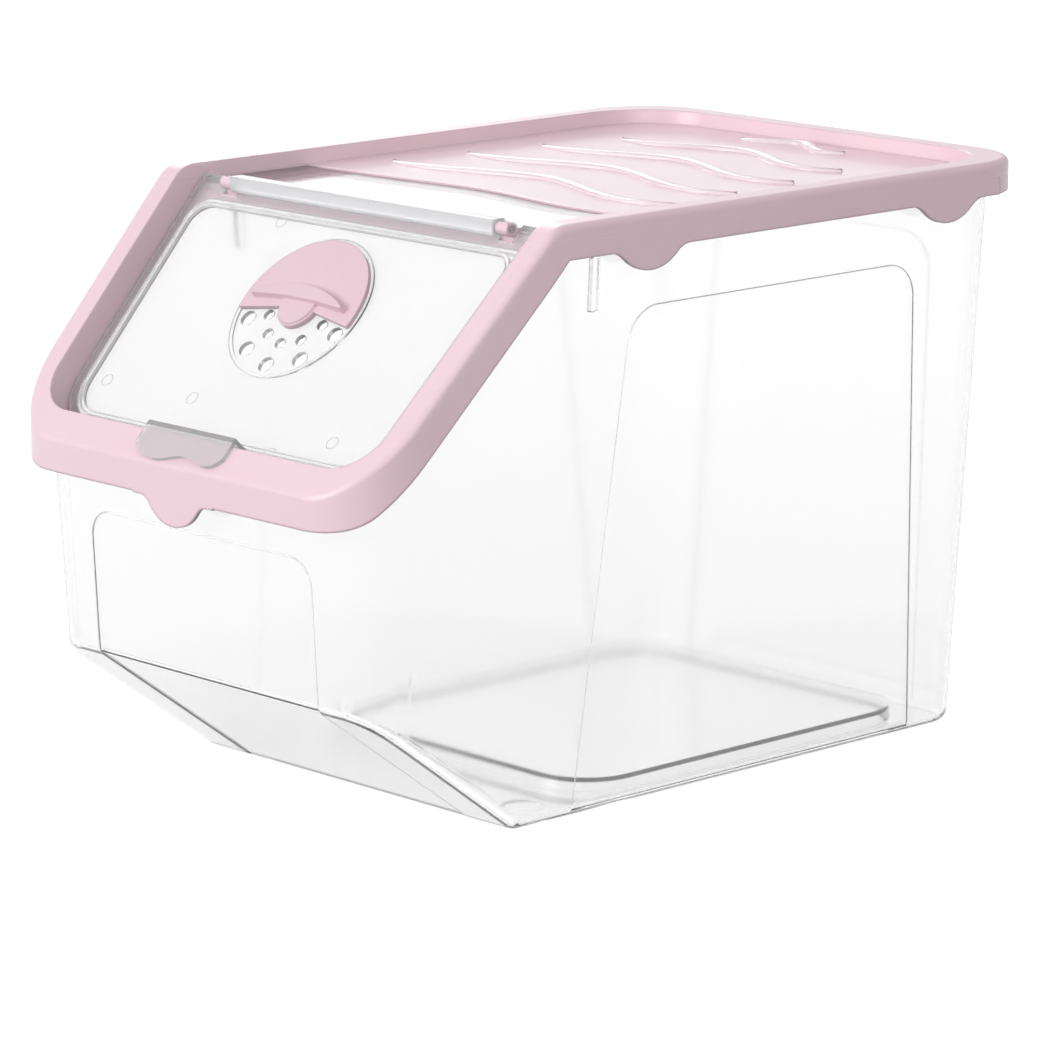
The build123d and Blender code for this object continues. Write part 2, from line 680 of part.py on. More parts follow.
with BuildPart() as flip_door:
    with BuildSketch(slant_plane(door_depth)):
        add(door_outline)
    extrude(amount=-door_wall)
    # The upper edge is rounded about the hinge line
    with BuildSketch(slant_plane(door_depth - door_wall)):
        with Locations((0, reach / 2)):
            Rectangle(reach, reach)
    upper_edge = extrude(amount=-3 * door_wall, mode=Mode.PRIVATE)
    add(upper_edge - hinge_reach, mode=Mode.SUBTRACT)
    with BuildSketch(slant_plane(door_depth)):
        add(bead_outside - bead_inside)
    extrude(amount=door_bead_height)
    with BuildSketch(slant_plane(door_depth + door_wall)):
        add(plug_outside - plug_inside)
    extrude(amount=-plug_depth)
    # Hinge bar on its web, notched for the lugs, with a pin at each end
    with BuildSketch(Plane.YZ) as bar:
        with Locations((hinge_y, hinge_z)):
            Circle(hinge_bar_radius)
            with Locations(Location((0, 0), slant_angle)):
                with Locations((0, -hinge_bar_radius / 2 - door_wall / 4)):
                    Rectangle(1.6 * hinge_bar_radius, hinge_bar_radius + door_wall / 2)
    extrude(amount=hinge_bar_half_length, both=True)
    for side in (1, -1):
        with BuildSketch(slant_plane(0)):
            middle = side * (hinge_bar_half_length + notch_end) / 2
            with Locations((middle, reach / 2 - hinge_notch_depth)):
                Rectangle(notch_end - hinge_bar_half_length, reach)
        extrude(amount=-reach, mode=Mode.SUBTRACT)
    with BuildSketch(Plane.YZ):
        with Locations((hinge_y, hinge_z)):
            Circle(hinge_pin_radius)
    extrude(amount=notch_end - lug_clearance / 2, both=True)
    # Finger tab: a riser in the pocket and a tab over the rim
    with BuildSketch(slant_plane(door_depth + door_wall)):
        with Locations((0, -door_end + catch_wall / 2)):
            Rectangle(catch_width, catch_wall)
    extrude(amount=door_depth + door_wall + catch_rise + catch_wall)
    with BuildSketch(slant_plane(-catch_rise)):
        add(catch_outline(door_end - catch_wall))
    extrude(amount=catch_wall)
    # Vent: ring, two rows of holes and the bearing of the dial
    with BuildSketch(slant_plane(door_depth)):
        with Locations((0, -vent_place)):
            Circle(vent_ring_radius)
            Circle(vent_ring_radius - vent_ring_width, mode=Mode.SUBTRACT)
    extrude(amount=vent_ring_height)
    with BuildSketch(slant_plane(door_depth)):
        add(vent_holes(vent_large_hole_radius, vent_large_hole_circle))
        add(vent_holes(vent_small_hole_radius, vent_small_hole_circle))
        with Locations((0, -vent_place)):
            Circle(dial_pin_radius + pin_clearance)
    extrude(amount=-door_wall, mode=Mode.SUBTRACT)
flip_door.part.label = "flip_door"

# The vent dial: a half disc on a hub that snaps through the door, with a bow-shaped grip
dial_depth = door_depth - dial_clearance
with BuildPart() as vent_dial:
    with BuildSketch(slant_plane(dial_depth)) as sector:
        with Locations((0, -vent_place)):
            Circle(dial_radius)
        side_x = 2 * dial_radius
        side_y = side_x * tan(radians(dial_overlap_angle))
        with BuildLine():
            Polyline(
                (0, -vent_place), (side_x, -vent_place - side_y), (side_x, -vent_place - side_x),
                (-side_x, -vent_place - side_x), (-side_x, -vent_place - side_y), close=True,
            )
        make_face(mode=Mode.SUBTRACT)
        with Locations((0, -vent_place)):
            Circle(dial_hub_radius)
    extrude(amount=dial_wall)
    with BuildSketch(slant_plane(dial_depth - dial_wall)):
        with Locations((0, -vent_place)):
            Circle(dial_hub_radius - dial_hub_height / 2)
    extrude(amount=dial_hub_height, taper=20)
    # Grip: a bow over the hub, running out at both sides
    with BuildSketch(slant_plane(dial_depth - dial_wall)):
        half = grip_length / 2
        with BuildLine():
            ThreePointArc(
                (-half, -vent_place), (0, 0.2 * grip_crest - vent_place), (half, -vent_place),
            )
            Line((half, -vent_place), (half, grip_end - vent_place))
            ThreePointArc(
                (half, grip_end - vent_place), (0, grip_crest - vent_place),
                (-half, grip_end - vent_place),
            )
            Line((-half, grip_end - vent_place), (-half, -vent_place))
        make_face()
    extrude(amount=grip_height, taper=grip_draft)
    # Pin through the door, and its split snap head
    with BuildSketch(slant_plane(dial_depth)):
        with Locations((0, -vent_place)):
            Circle(dial_pin_radius)
    extrude(amount=-door_wall - 2 * dial_clearance)
    with BuildSketch(slant_plane(door_depth + door_wall + dial_clearance)):
        with Locations((0, -vent_place)):
            Circle(dial_snap_radius)
    extrude(amount=-dial_snap_height, taper=30)
    with BuildSketch(slant_plane(door_depth)):
        with Locations((0, -vent_place)):
            Rectangle(dial_split, 4 * dial_pin_radius)
    extrude(amount=-reach / 10, mode=Mode.SUBTRACT)
vent_dial.part.label = "vent_dial"

os.makedirs("parts", exist_ok=True)
for piece in (tub, lid_frame, lid_window, flip_door, vent_dial):
    export_step(piece.part, "parts/" + piece.part.label + ".step")
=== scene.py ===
"""Clear storage bin with a pink slanted lid: finishes, moulded detail, studio and camera.

Metres, +Z up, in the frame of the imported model: X = 0 is the bin's plane of symmetry and the door
faces -Y.
"""
import json
import logging
import math
from dataclasses import dataclass, field
from enum import Enum

import bpy
import numpy
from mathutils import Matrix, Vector


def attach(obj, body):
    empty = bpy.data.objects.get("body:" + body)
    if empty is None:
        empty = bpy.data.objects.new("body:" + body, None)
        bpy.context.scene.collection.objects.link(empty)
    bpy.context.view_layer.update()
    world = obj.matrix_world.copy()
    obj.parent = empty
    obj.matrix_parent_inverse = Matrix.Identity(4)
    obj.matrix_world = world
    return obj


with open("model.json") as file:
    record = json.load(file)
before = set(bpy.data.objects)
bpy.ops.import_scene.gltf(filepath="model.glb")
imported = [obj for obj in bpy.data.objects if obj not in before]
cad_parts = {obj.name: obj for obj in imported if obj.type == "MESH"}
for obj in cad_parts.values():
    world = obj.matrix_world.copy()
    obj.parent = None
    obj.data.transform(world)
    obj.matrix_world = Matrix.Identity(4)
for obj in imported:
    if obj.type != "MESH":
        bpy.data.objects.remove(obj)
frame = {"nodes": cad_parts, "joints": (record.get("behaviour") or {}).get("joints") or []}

log = logging.getLogger("bin")
MM = 0.001
ARC_STEPS = 8    # straight bits in a rounded corner of a swept line


# Helpers

def linear(code: str, alpha: float = 1.0) -> tuple[float, float, float, float]:
    """Turns an sRGB hex colour into linear values.

    Args:
        code: colour as six hex digits, with or without a leading hash.
        alpha: fourth value of the result.

    Returns:
        Linear red, green and blue, and alpha.
    """
    digits = code.lstrip("#")
    channels = [int(digits[i:i + 2], 16) / 255 for i in (0, 2, 4)]
    values = [c / 12.92 if c <= 0.04045 else ((c + 0.055) / 1.055) ** 2.4 for c in channels]
    return (values[0], values[1], values[2], alpha)


def add_node(tree: bpy.types.NodeTree, kind: str, settings: dict | None = None,
             inputs: dict | None = None) -> bpy.types.Node:
    """Adds a node with its settings and what goes into its sockets.

    Args:
        tree: node tree that gets the node.
        kind: the node's type name.
        settings: attributes of the node by name.
        inputs: socket values by name or number; a socket as a value is linked.

    Returns:
        The new node.
    """
    node = tree.nodes.new(kind)
    for name, value in (settings or {}).items():
        setattr(node, name, value)
    for key, value in (inputs or {}).items():
        socket = node.inputs[key]
        if isinstance(value, bpy.types.NodeSocket):
            tree.links.new(value, socket)
        else:
            socket.default_value = value
    return node


def new_material(name: str) -> tuple[bpy.types.Material, bpy.types.NodeTree]:
    """Makes an empty node material.

    Args:
        name: the material's name.

    Returns:
        The material and its emptied node tree.
    """
    material = bpy.data.materials.new(name)
    material.use_nodes = True
    material.node_tree.nodes.clear()
    return material, material.node_tree


def seen_directly(tree: bpy.types.NodeTree) -> bpy.types.NodeSocket:
    """Gives 1 for rays that come from the camera, a reflection or through clear plastic.

    Args:
        tree: node tree that gets the nodes.

    Returns:
        Socket with 1 for those rays and 0 for the rest.
    """
    path = add_node(tree, "ShaderNodeLightPath")
    first = add_node(tree, "ShaderNodeMath", {"operation": "MAXIMUM"}, {
        0: path.outputs["Is Camera Ray"], 1: path.outputs["Is Glossy Ray"]})
    both = add_node(tree, "ShaderNodeMath", {"operation": "MAXIMUM"}, {
        0: first.outputs["Value"], 1: path.outputs["Is Transmission Ray"]})
    return both.outputs["Value"]


def smooth_line(points: list[tuple[float, float]], count: int) -> list[tuple[float, float]]:
    """Lays a smooth cubic line through a few points.

    Args:
        points: the points, as pairs.
        count: how many points the line gets.

    Returns:
        The line's points, evenly spread along it.
    """
    rows = numpy.array(points, dtype=float)
    steps = numpy.linalg.norm(numpy.diff(rows, axis=0), axis=1)
    knots = numpy.concatenate([[0.0], numpy.cumsum(steps)])
    size = len(rows)
    matrix = numpy.zeros((size, size))
    right = numpy.zeros((size, 2))
    matrix[0, :3] = steps[1], -(steps[0] + steps[1]), steps[0]
    matrix[-1, -3:] = steps[-1], -(steps[-2] + steps[-1]), steps[-2]
    for i in range(1, size - 1):
        before, after = steps[i - 1], steps[i]
        matrix[i, i - 1:i + 2] = before, 2 * (before + after), after
        right[i] = 6 * ((rows[i + 1] - rows[i]) / after - (rows[i] - rows[i - 1]) / before)
    bends = numpy.linalg.solve(matrix, right)
    line = []
    for place in numpy.linspace(0, knots[-1], count):
        i = min(max(int(numpy.searchsorted(knots, place, side="right")) - 1, 0), size - 2)
        near, far, span = knots[i + 1] - place, place - knots[i], steps[i]
        value = (bends[i] * near ** 3 + bends[i + 1] * far ** 3) / (6 * span)
        value += (rows[i] / span - bends[i] * span / 6) * near
        value += (rows[i + 1] / span - bends[i + 1] * span / 6) * far
        line.append((float(value[0]), float(value[1])))
    return line


# Finishes

class Gloss(Enum):
    """Roughness that the surface of the mould leaves on the plastic."""

    POLISHED = 0.06
    FINE_SATIN = 0.30


@dataclass(frozen=True)
class TintedPolypropylene:
    """Pale pink polypropylene, injection moulded in a finely satined mould.

    The eye gets a soft wide highlight, a little light inside the wall and a faint unevenness of
    tone.
    """

    name: str
    colour: str
    deep_colour: str
    gloss: Gloss = Gloss.FINE_SATIN
    grain_mm: float = 0.5            # satin texture, drawn coarser than it is so that it shows
    grain_depth_mm: float = 0.02
    grain_strength: float = 0.3
    grain_gloss: tuple[float, float] = (-0.05, 0.08)     # change of roughness along the grain
    flow_mm: float = 45.0            # slow change of tone along the flow of the plastic
    flow_ends: tuple[float, float] = (0.3, 0.7)          # where the two tones are pure
    edge_mm: float = 1.5             # softness of the moulded edges
    glow_share: float = 0.1          # light that enters the wall and comes out again
    glow_mm: float = 1.2             # how far it travels there
    glow_colours: tuple[float, float, float] = (1.0, 0.7, 0.7)     # red travels furthest
    glossy_level_mm: float = 0.0     # height of a flat that the mould leaves glossier, if any
    level_reach_mm: float = 0.3      # how near that height a point has to be
    level_share: float = 0.5         # roughness of that flat, as a share of the rest
    ior: float = 1.49

    def with_glossy_level(self, tree: bpy.types.NodeTree, rough: bpy.types.NodeSocket,
                          place: bpy.types.NodeSocket) -> bpy.types.NodeSocket:
        """Lowers the roughness on the flat at glossy_level_mm.

        Args:
            tree: the material's node tree.
            rough: roughness of the rest.
            place: object coordinates.

        Returns:
            Roughness for the whole surface.
        """
        parts = add_node(tree, "ShaderNodeSeparateXYZ", inputs={"Vector": place})
        near = add_node(tree, "ShaderNodeMath", {"operation": "COMPARE"}, {
            0: parts.outputs["Z"], 1: self.glossy_level_mm * MM, 2: self.level_reach_mm * MM})
        smooth = add_node(tree, "ShaderNodeMath", {"operation": "MULTIPLY"}, {
            0: rough, 1: self.level_share})
        return add_node(tree, "ShaderNodeMix", {"data_type": "FLOAT"}, {
            0: near.outputs["Value"], 2: rough, 3: smooth.outputs["Value"]}).outputs[0]

    def build(self) -> bpy.types.Material:
        """Makes the material.

        Returns:
            The finished material.
        """
        material, tree = new_material(self.name)
        place = add_node(tree, "ShaderNodeTexCoord").outputs["Object"]
        flow = add_node(tree, "ShaderNodeTexNoise", inputs={
            "Vector": place, "Scale": 1 / (self.flow_mm * MM), "Detail": 2.0, "Roughness": 0.45})
        tone = add_node(tree, "ShaderNodeValToRGB", inputs={"Fac": flow.outputs["Fac"]})
        codes = (self.deep_colour, self.colour)
        for stop, end, code in zip(tone.color_ramp.elements, self.flow_ends, codes):
            stop.position = end
            stop.color = linear(code)
        grain = add_node(tree, "ShaderNodeTexNoise", inputs={
            "Vector": place, "Scale": 1 / (self.grain_mm * MM), "Detail": 3.0, "Roughness": 0.6})
        finer, coarser = self.grain_gloss
        rough = add_node(tree, "ShaderNodeMapRange", inputs={
            "Value": grain.outputs["Fac"], "To Min": self.gloss.value + finer,
            "To Max": self.gloss.value + coarser})
        soft = add_node(tree, "ShaderNodeBevel", {"samples": 6}, {"Radius": self.edge_mm * MM})
        bump = add_node(tree, "ShaderNodeBump", inputs={
            "Strength": self.grain_strength, "Distance": self.grain_depth_mm * MM,
            "Height": grain.outputs["Fac"], "Normal": soft.outputs["Normal"]})
        roughness = rough.outputs["Result"]
        if self.glossy_level_mm > 0:
            roughness = self.with_glossy_level(tree, roughness, place)
        shader = add_node(tree, "ShaderNodeBsdfPrincipled", inputs={
            "Base Color": tone.outputs["Color"], "Roughness": roughness,
            "IOR": self.ior, "Normal": bump.outputs["Normal"],
            "Subsurface Weight": self.glow_share, "Subsurface Radius": self.glow_colours,
            "Subsurface Scale": self.glow_mm * MM})
        add_node(tree, "ShaderNodeOutputMaterial", inputs={"Surface": shader.outputs["BSDF"]})
        return material


@dataclass(frozen=True)
class ClearPlastic:
    """Clear moulded plastic: natural polypropylene, or the glassier styrene of the window.

    The eye gets a nearly colourless wall, a thin grey line wherever an edge bends the light, a
    slight waviness from the moulding and, in natural polypropylene, a faint milkiness.
    """

    name: str
    tint: str
    ior: float
    clearness: float = 1.0       # share of the light that isn't scattered by the milky plastic
    gloss: Gloss = Gloss.POLISHED
    haze: float = 0.0            # added roughness of a cloudy plastic
    wave_mm: float = 28.0        # sink and flow waves of a thin moulded wall
    wave_depth_mm: float = 0.02
    wave_strength: float = 0.5
    cloud_mm: float = 6.0        # cloudiness that varies the roughness a little
    cloud_spread: float = 0.2    # by how much, as a share

    def build(self) -> bpy.types.Material:
        """Makes the material.

        Returns:
            The finished material. Lamps shine through it, as they do through the real walls.
        """
        material, tree = new_material(self.name)
        place = add_node(tree, "ShaderNodeTexCoord").outputs["Object"]
        wave = add_node(tree, "ShaderNodeTexNoise", inputs={
            "Vector": place, "Scale": 1 / (self.wave_mm * MM), "Detail": 1.0, "Roughness": 0.4})
        bump = add_node(tree, "ShaderNodeBump", inputs={
            "Strength": self.wave_strength, "Distance": self.wave_depth_mm * MM,
            "Height": wave.outputs["Fac"]})
        cloud = add_node(tree, "ShaderNodeTexNoise", inputs={
            "Vector": place, "Scale": 1 / (self.cloud_mm * MM), "Detail": 4.0, "Roughness": 0.6})
        base = self.gloss.value + self.haze
        rough = add_node(tree, "ShaderNodeMapRange", inputs={
            "Value": cloud.outputs["Fac"], "To Min": base * (1 - self.cloud_spread),
            "To Max": base * (1 + self.cloud_spread)})
        wall = add_node(tree, "ShaderNodeBsdfPrincipled", inputs={
            "Base Color": linear(self.tint), "Roughness": rough.outputs["Result"],
            "IOR": self.ior, "Transmission Weight": self.clearness,
            "Normal": bump.outputs["Normal"]})
        passed = add_node(tree, "ShaderNodeBsdfTransparent", inputs={"Color": linear(self.tint)})
        path = add_node(tree, "ShaderNodeLightPath")
        shader = add_node(tree, "ShaderNodeMixShader", inputs={
            0: path.outputs["Is Shadow Ray"], 1: wall.outputs["BSDF"], 2: passed.outputs["BSDF"]})
        add_node(tree, "ShaderNodeOutputMaterial", inputs={"Surface": shader.outputs["Shader"]})
        return material


@dataclass(frozen=True)
class StudioSweep:
    """White floor of the studio: seen as white by the camera, with the bin's soft shadow on it."""

    name: str = "white_sweep"
    colour: str = "#969696"
    lift: float = 0.88           # light of its own that only views and reflections see
    far_lift: float = 0.95       # the same, away from the bin
    near_m: float = 0.35         # distance at which the lift starts to grow
    far_m: float = 1.3           # distance from which it stays at far_lift

    def build(self) -> bpy.types.Material:
        """Makes the material.

        Returns:
            The finished material.
        """
        material, tree = new_material(self.name)
        diffuse = add_node(tree, "ShaderNodeBsdfDiffuse", inputs={"Color": linear(self.colour)})
        place = add_node(tree, "ShaderNodeTexCoord").outputs["Object"]
        reach = add_node(tree, "ShaderNodeVectorMath", {"operation": "LENGTH"}, {0: place})
        lift = add_node(tree, "ShaderNodeMapRange", inputs={
            "Value": reach.outputs["Value"], "From Min": self.near_m, "From Max": self.far_m,
            "To Min": self.lift, "To Max": self.far_lift})
        strength = add_node(tree, "ShaderNodeMath", {"operation": "MULTIPLY"}, {
            0: seen_directly(tree), 1: lift.outputs["Result"]})
        glow = add_node(tree, "ShaderNodeEmission", inputs={
            "Color": (1.0, 1.0, 1.0, 1.0), "Strength": strength.outputs["Value"]})
        both = add_node(tree, "ShaderNodeAddShader", inputs={
            0: diffuse.outputs["BSDF"], 1: glow.outputs["Emission"]})
        add_node(tree, "ShaderNodeOutputMaterial", inputs={"Surface": both.outputs["Shader"]})
        return material


LID_PINK = TintedPolypropylene("moulded_pink_polypropylene", "#efd3dc", "#edcfd9",
                               glossy_level_mm=226.2)
# Rib crowns: the lid's own pink plastic, made paler as a painted highlight; their polished gloss
# also reflects the lamps
RIB_PINK_PAINTED_HIGHLIGHT = TintedPolypropylene("polished_pink_painted_highlight", "#f6e8ed", "#f4e4ea", Gloss.POLISHED)
DIAL_PINK = TintedPolypropylene("dial_pink_polypropylene", "#e6c9d3", "#e4c5d0", edge_mm=0.6)
TUB_CLEAR = ClearPlastic("clear_polypropylene_tub", "#fbfbfb", 1.49, 0.96, haze=0.02)
DOOR_CLEAR = ClearPlastic("clear_polypropylene_door", "#fdfdfd", 1.49, 0.8, haze=0.06)
BAR_MILKY = ClearPlastic("milky_polypropylene_bar", "#ececee", 1.49, 0.45, Gloss.FINE_SATIN)
WINDOW_CLEAR = ClearPlastic("clear_styrene_window", "#fefefe", 1.57, wave_depth_mm=0.008)


# Moulded detail by Geometry Nodes

@dataclass
class DetailTree:
    """A Geometry Nodes tree that takes a geometry and named sizes, and gives a finished mesh."""

    name: str
    sizes: dict[str, float | bpy.types.Material]     # value of each named input
    tree: bpy.types.NodeTree = field(init=False)
    given: bpy.types.bpy_prop_collection = field(init=False)           # sockets of the inputs
    keys: dict[str, str] = field(init=False, default_factory=dict)     # identifier of each input

    def __post_init__(self) -> None:
        """Starts the tree with its sockets."""
        self.tree = bpy.data.node_groups.new(self.name, "GeometryNodeTree")
        face = self.tree.interface
        face.new_socket(name="Start", in_out="INPUT", socket_type="NodeSocketGeometry")
        for name, value in self.sizes.items():
            kind = "NodeSocketFloat" if isinstance(value, float) else "NodeSocketMaterial"
            socket = face.new_socket(name=name, in_out="INPUT", socket_type=kind)
            self.keys[name] = socket.identifier
        face.new_socket(name="Piece", in_out="OUTPUT", socket_type="NodeSocketGeometry")
        self.given = add_node(self.tree, "NodeGroupInput").outputs

    def finish(self, mesh: bpy.types.NodeSocket) -> None:
        """Smooths the mesh, makes instances real, sets the finish and ends the tree.

        Args:
            mesh: socket that gives the mesh or its instances.
        """
        shaded = add_node(self.tree, "GeometryNodeSetShadeSmooth", inputs={
            "Geometry": mesh, "Shade Smooth": True})
        real = add_node(self.tree, "GeometryNodeRealizeInstances", inputs={
            "Geometry": shaded.outputs["Geometry"]})
        dressed = add_node(self.tree, "GeometryNodeSetMaterial", inputs={
            "Geometry": real.outputs["Geometry"], "Material": self.given["Finish"]})
        add_node(self.tree, "NodeGroupOutput", inputs={"Piece": dressed.outputs["Geometry"]})

    def piece(self, name: str, data: bpy.types.Curve | bpy.types.Mesh, body: str,
              slot: str) -> bpy.types.Object:
        """Runs the tree on a curve or mesh and makes the result a piece.

        Args:
            name: the piece's name.
            data: what the tree starts from; it is deleted afterwards.
            body: the body that carries the piece.
            slot: not used.

        Returns:
            The finished piece, a plain mesh.
        """
        source = bpy.data.objects.new(name + "_source", data)
        bpy.context.scene.collection.objects.link(source)
        modifier = source.modifiers.new("detail", "NODES")
        modifier.node_group = self.tree
        for size, value in self.sizes.items():
            modifier[self.keys[size]] = value
        graph = bpy.context.evaluated_depsgraph_get()
        mesh = bpy.data.meshes.new_from_object(source.evaluated_get(graph), depsgraph=graph)
        mesh.name = name
        bpy.data.objects.remove(source)
        store = bpy.data.curves if isinstance(data, bpy.types.Curve) else bpy.data.meshes
        store.remove(data)
        piece = bpy.data.objects.new(name, mesh)
        bpy.context.scene.collection.objects.link(piece)
        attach(piece, body)
        log.info("%s: %d faces", name, len(mesh.polygons))
        return piece


@dataclass
class Path:
    """A line in space, in metres, with the scale of the swept section at each point."""

    points: list[Vector]
    scales: list[float]
    closed: bool = False

    @classmethod
    def rounded(cls, corners: list[tuple[Vector, float]], closed: bool = False) -> "Path":
        """Makes a path of straight runs with rounded corners.

        Args:
            corners: each corner with its radius, both in metres.
            closed: whether the last corner joins the first.

        Returns:
            The path.
        """
        points = []
        count = len(corners)
        for i, (corner, radius) in enumerate(corners):
            if radius == 0 or (not closed and i in (0, count - 1)):
                points.append(corner)
                continue
            back = (corners[i - 1][0] - corner).normalized()
            ahead = (corners[(i + 1) % count][0] - corner).normalized()
            half = back.angle(ahead) / 2
            centre = corner + (back + ahead).normalized() * (radius / math.sin(half))
            start = corner + back * (radius / math.tan(half)) - centre
            end = corner + ahead * (radius / math.tan(half)) - centre
            turn = start.angle(end)
            for step in range(ARC_STEPS + 1):
                share = turn * step / ARC_STEPS
                points.append(centre + (start * math.sin(turn - share) + end * math.sin(share))
                              / math.sin(turn))
        return cls(points, [1.0] * len(points), closed)


@dataclass
class SweptDetail:
    """Moulded detail of one section, an ellipse or a rounded box, that follows lines."""

    width_mm: float
    height_mm: float
    finish: TintedPolypropylene | ClearPlastic
    sides: int = 12
    corner_mm: float = 0.0       # radius of a box's corners; 0 gives an ellipse

    def section(self, detail: DetailTree) -> bpy.types.NodeSocket:
        """Draws the section.

        Args:
            detail: the tree that gets the nodes.

        Returns:
            Socket that gives the section's curve.
        """
        tree, given = detail.tree, detail.given
        if self.corner_mm == 0:
            ring = add_node(tree, "GeometryNodeCurvePrimitiveCircle", inputs={
                "Resolution": self.sides, "Radius": 0.5})
            scale = add_node(tree, "ShaderNodeCombineXYZ", inputs={
                "X": given["Width"], "Y": given["Height"], "Z": 1.0})
            ellipse = add_node(tree, "GeometryNodeTransform", inputs={
                "Geometry": ring.outputs["Curve"], "Scale": scale.outputs["Vector"]})
            return ellipse.outputs["Geometry"]
        box = add_node(tree, "GeometryNodeCurvePrimitiveQuadrilateral", inputs={
            "Width": given["Width"], "Height": given["Height"]})
        rounded = add_node(tree, "GeometryNodeFilletCurve", {"mode": "POLY"}, {
            "Curve": box.outputs["Curve"], "Radius": given["Corner"], "Count": self.sides // 2})
        return rounded.outputs["Curve"]

    def build(self, name: str, paths: list[Path], body: str, slot: str) -> bpy.types.Object:
        """Sweeps the section along the paths and makes the result a piece.

        Args:
            name: the piece's name.
            paths: the lines that the section follows.
            body: the body that carries the piece.
            slot: not used; it is only passed on to the piece.

        Returns:
            The finished piece.
        """
        sizes = {"Width": self.width_mm * MM, "Height": self.height_mm * MM,
                 "Finish": self.finish.build()}
        if self.corner_mm > 0:
            sizes["Corner"] = self.corner_mm * MM
        detail = DetailTree(name + "_tree", sizes)
        radius = add_node(detail.tree, "GeometryNodeInputRadius")
        swept = add_node(detail.tree, "GeometryNodeCurveToMesh", inputs={
            "Curve": detail.given["Start"], "Profile Curve": self.section(detail),
            "Scale": radius.outputs["Radius"], "Fill Caps": True})
        detail.finish(swept.outputs["Mesh"])
        curve = bpy.data.curves.new(name + "_paths", "CURVE")
        curve.dimensions = "3D"
        curve.twist_mode = "Z_UP"
        for path in paths:
            spline = curve.splines.new("POLY")
            spline.points.add(len(path.points) - 1)
            spline.use_cyclic_u = path.closed
            for point, place, scale in zip(spline.points, path.points, path.scales):
                point.co = (*place, 1.0)
                point.radius = scale
        return detail.piece(name, curve, body, slot)


# The bin

@dataclass
class Dressing:
    """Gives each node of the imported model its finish."""

    finishes: dict[str, TintedPolypropylene | ClearPlastic] = field(default_factory=lambda: {
        "tub": TUB_CLEAR, "lid_frame": LID_PINK, "lid_window": WINDOW_CLEAR,
        "flip_door": DOOR_CLEAR, "vent_dial": DIAL_PINK})

    def build(self) -> None:
        """Puts the finishes on the nodes."""
        for node, finish in self.finishes.items():
            mesh = frame["nodes"][node].data
            mesh.materials.clear()
            mesh.materials.append(finish.build())
            log.info("%s: %s", node, finish.name)


@dataclass
class TrayRibs:
    """Polished crowns on the tray's wavy ribs, white strips from lamp glints and a painted
    highlight.
    """

    lip_place_mm: float = -179.0         # the lid's front lip along Y
    first_place_mm: float = 183.0        # first rib, from the front lip
    pitch_mm: float = 37.0
    half_lengths_mm: tuple[float, ...] = (80.0, 76.0, 71.0, 62.0, 29.0)
    wave_mm: float = 12.0                # height of the longest rib's wave
    wave_points: tuple[tuple[float, float], ...] = (     # shares of half the length and the wave
        (-1.0, 0.0), (-0.5, 0.36), (-0.02, 1.0), (0.52, -0.22), (1.0, 0.06))
    short_rib_share: float = 0.3         # added to a shorter rib's share of the wave
    tip_share: float = 0.4               # width at the tips
    width_mm: float = 4.8
    height_mm: float = 3.4               # whole ellipse, half of it in the tray's wall
    tray_level_mm: float = 226.2
    steps: int = 49

    def wave(self, half: float, start: float, rise: float) -> list[tuple[float, float]]:
        """A rib's points in plan, from its half length, place along Y and height of wave."""
        return smooth_line([(half * x, start + rise * y) for x, y in self.wave_points], self.steps)

    def build(self) -> bpy.types.Object:
        """Makes the crowns.

        Returns:
            The piece with all the crowns.
        """
        longest = self.half_lengths_mm[0]
        swell = [math.sin(math.pi * i / (self.steps - 1)) ** 0.5 for i in range(self.steps)]
        scales = [self.tip_share + (1 - self.tip_share) * share for share in swell]
        paths = []
        for row, half in enumerate(self.half_lengths_mm):
            start = self.lip_place_mm + self.first_place_mm + row * self.pitch_mm
            rise = self.wave_mm * min(1.0, half / longest + self.short_rib_share)
            line = self.wave(half, start, rise)
            paths.append(Path([Vector((x, y, self.tray_level_mm)) * MM for x, y in line], scales))
        # the crowns' paler pink is a painted highlight
        crown = SweptDetail(self.width_mm, self.height_mm, RIB_PINK_PAINTED_HIGHLIGHT, 16)
        return crown.build("tray_rib_crowns", paths, "lid", "pink_lid")


@dataclass
class HingeBar:
    """Milky moulded body of the door's hinge bar, a rounded box between the lid's lugs."""

    half_length_mm: float = 74.9
    width_mm: float = 7.0
    height_mm: float = 6.4
    corner_mm: float = 1.5

    def build(self) -> bpy.types.Object:
        """Makes the bar's body.

        Returns:
            The finished piece.
        """
        joint = next(j for j in frame["joints"] if j["name"] == "door_hinge")
        centre = Vector(joint["pos_m"])
        ends = [centre + Vector((side * self.half_length_mm * MM, 0, 0)) for side in (-1, 1)]
        bar = SweptDetail(self.width_mm, self.height_mm, BAR_MILKY, corner_mm=self.corner_mm)
        return bar.build("hinge_bar_body", [Path(ends, [1.0, 1.0])], "door", "clear_door")


@dataclass(frozen=True)
class Face:
    """A flat face of the bin: x runs level along it and y up it, both in millimetres."""

    origin: Vector
    along: Vector
    up: Vector

    def point(self, x: float, y: float) -> Vector:
        """A point of the face in metres."""
        return (self.origin + self.along * x + self.up * y) * MM


FOLD_MM = Vector((0.0, -88.0, 232.0))    # where the lid's level top meets its slanted front
SLANT = math.atan2(93.0, 91.0)           # of the front, from level
TUB_DRAFT = math.radians(3.3)
TUB_MIDDLE_MM = -0.7                     # middle of the tub along Y


def slant_face(depth: float) -> Face:
    """The lid's slanted front.

    Args:
        depth: how far the face lies below the rim, in millimetres.

    Returns:
        The face, its y = 0 at the fold.
    """
    down = Vector((0, math.sin(SLANT), -math.cos(SLANT)))
    return Face(FOLD_MM + down * depth, Vector((1, 0, 0)),
                Vector((0, math.cos(SLANT), math.sin(SLANT))))


